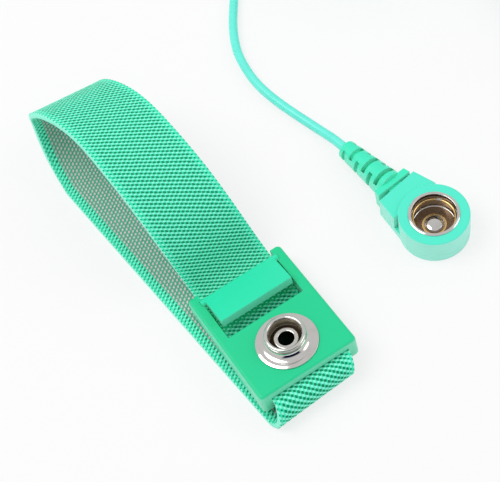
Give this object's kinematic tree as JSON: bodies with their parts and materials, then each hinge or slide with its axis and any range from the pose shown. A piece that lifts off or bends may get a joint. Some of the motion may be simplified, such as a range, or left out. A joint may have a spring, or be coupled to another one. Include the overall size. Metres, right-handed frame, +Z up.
{
  "type": "antistatic wrist strap",
  "caption": "Elastic antistatic wrist strap with a clamp clasp and snap stud, beside its ground lead: snap head, ringed strain relief and a coiled cord to a banana plug with crocodile clip.",
  "frame": {"origin": "on the table, under the middle of the wristband and the snap head together", "axes": "+Y along the band's loop away from its clasp's free side, +X from the wristband towards the snap head, +Z up"},
  "size_m": [0.1414, 0.1337, 0.0319],
  "materials": {
    "band_fabric": "knitted elastic, green stitches with a silver conductive inner face",
    "clasp_plastic": "moulded green, slightly glossy",
    "flap_plastic": "moulded green, slightly glossy",
    "stud_metal": "nickel plated",
    "eyelet_metal": "nickel plated, rolled",
    "washer_fibre": "dark fibre washer",
    "head_plastic": "translucent pale green",
    "base_plastic": "translucent pale green",
    "brass_wire": "drawn brass",
    "rivet_metal": "nickel plated dome",
    "resistor_lacquer": "beige lacquer with colour bands",
    "tinned_wire": "tinned copper",
    "cord_jacket": "soft translucent green jacket",
    "relief_plastic": "soft moulded green",
    "sleeve_plastic": "moulded green",
    "plug_metal": "brass pin",
    "clip_metal": "nickel plated pressed steel",
    "spring_steel": "spring steel wire"
  },
  "bodies": {
    "wristband": {"elastic_band": "band_fabric", "clasp_body": "clasp_plastic", "stud_shell": "stud_metal", "stud_eyelet": "eyelet_metal", "backing_washer": "washer_fibre"},
    "flap": {"clamp_flap": "flap_plastic"},
    "ground_lead": {"head_housing": "head_plastic", "head_base": "base_plastic", "socket_cup": "stud_metal", "socket_spring": "brass_wire", "socket_rivet": "rivet_metal", "contact_tab": "brass_wire", "resistor_body": "resistor_lacquer", "resistor_wire_front": "tinned_wire", "resistor_wire_rear": "tinned_wire", "crimp_barrel": "brass_wire", "cord_conductor": "tinned_wire", "cord_grip": "cord_jacket", "strain_relief": "relief_plastic", "cord_lead": "cord_jacket", "cord_coil": "cord_jacket", "cord_tail": "cord_jacket", "plug_cord_grip": "cord_jacket", "plug_relief": "relief_plastic", "plug_sleeve": "sleeve_plastic", "plug_pin": "plug_metal", "plug_spring": "plug_metal"},
    "clip": {"clip_lower_jaw": "clip_metal", "clip_pivot_pin": "clip_metal", "clip_spring": "spring_steel"},
    "clip_lever": {"clip_upper_jaw": "clip_metal"}
  },
  "joints": [
    {"name": "flap_hinge", "type": "hinge", "parent": "wristband", "child": "flap", "pos_m": [-0.01761, -0.01646, 0.00625], "axis": [-1, 0, 0], "range_deg": [0, 95]},
    {"name": "lead_lift", "type": "slide", "parent": "wristband", "child": "ground_lead", "axis": [0, 0, 1], "range_m": [0, 0.05]},
    {"name": "clip_pull", "type": "slide", "parent": "ground_lead", "child": "clip", "axis": [-0.0993, -0.9951, 0], "range_m": [0, 0.019]},
    {"name": "jaw_hinge", "type": "hinge", "parent": "clip", "child": "clip_lever", "pos_m": [0.09222, -0.01744, 0.00555], "axis": [-0.9951, 0.0993, 0], "range_deg": [0, 22], "stiffness_Nm_per_rad": 0.02, "springref_deg": -34.38}
  ]
}
